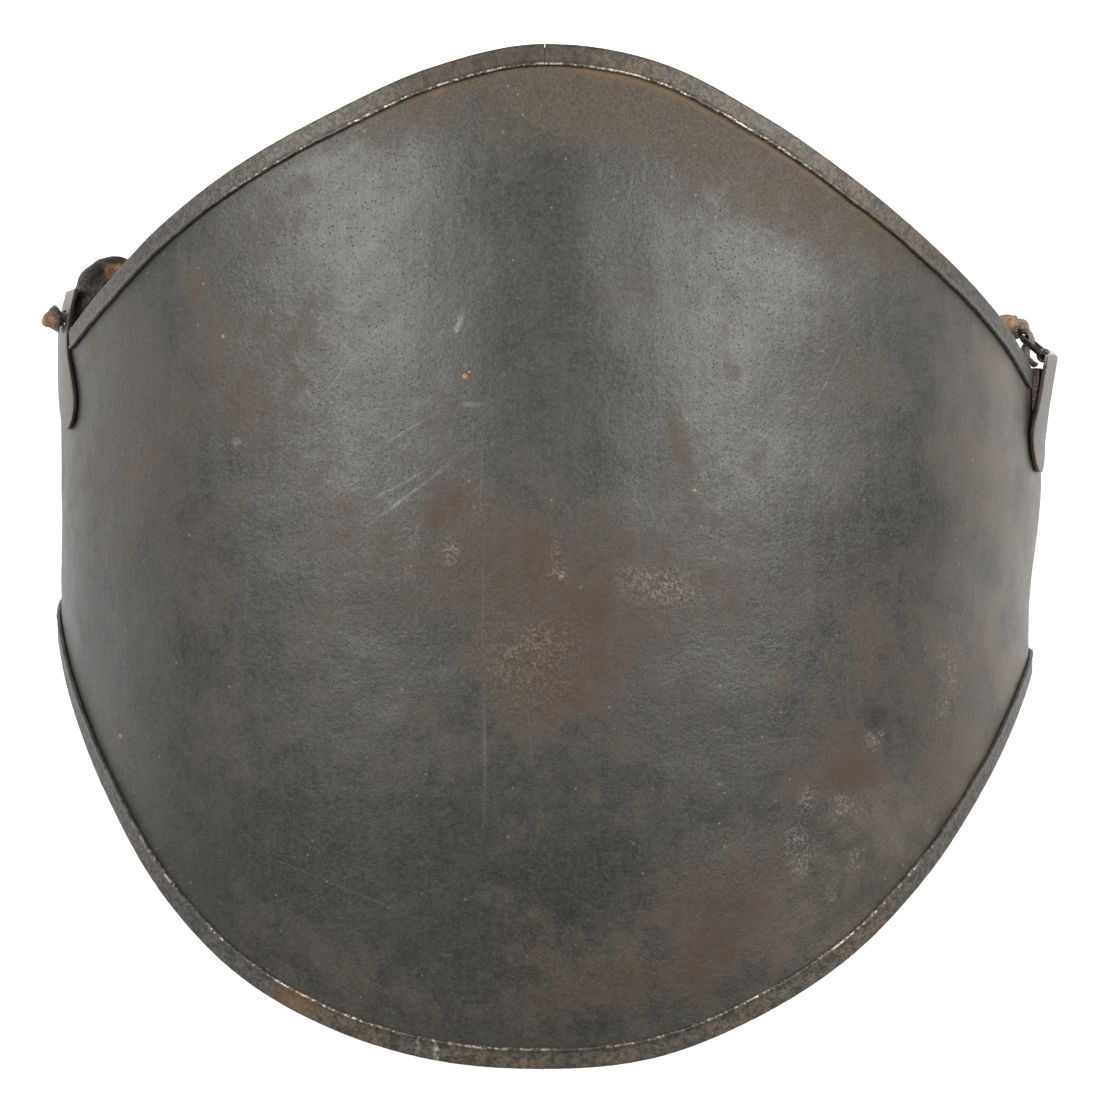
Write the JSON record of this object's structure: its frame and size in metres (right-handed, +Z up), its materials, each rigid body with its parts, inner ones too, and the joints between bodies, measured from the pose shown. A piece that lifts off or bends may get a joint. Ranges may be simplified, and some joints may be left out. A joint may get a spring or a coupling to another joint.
{
  "type": "cuirass breastplate",
  "caption": "Deep rounded sheet-iron breastplate with a folded edge binding, iron side hangers, a ring and stubs of leather strap, lying hollow side down.",
  "frame": {"origin": "on the floor, under the middle of the whole object's box", "axes": "+Z up, out of the chest; +Y towards the neck; +X to the right of someone who looks at the front"},
  "size_m": [0.3564, 0.3336, 0.1724],
  "materials": {
    "plate_iron": "dark patinated sheet iron, fine pitting, brown rust",
    "binding_iron": "worn folded sheet iron, rust along its inner edge",
    "hanger_iron": "worn sheet iron",
    "ring_iron": "dark rusted wire",
    "leather": "old dry leather with raw torn ends"
  },
  "bodies": {
    "root": {"breastplate": "plate_iron", "binding_upper_left": "binding_iron", "binding_upper_right": "binding_iron", "binding_lower_left": "binding_iron", "binding_lower_right": "binding_iron", "hanger_left": "hanger_iron", "hanger_right": "hanger_iron", "rivet_left": "hanger_iron", "rivet_right": "hanger_iron", "ring_right": "ring_iron", "strap_left": "leather", "strap_right": "leather", "leather_pad_right": "leather"}
  },
  "joints": []
}
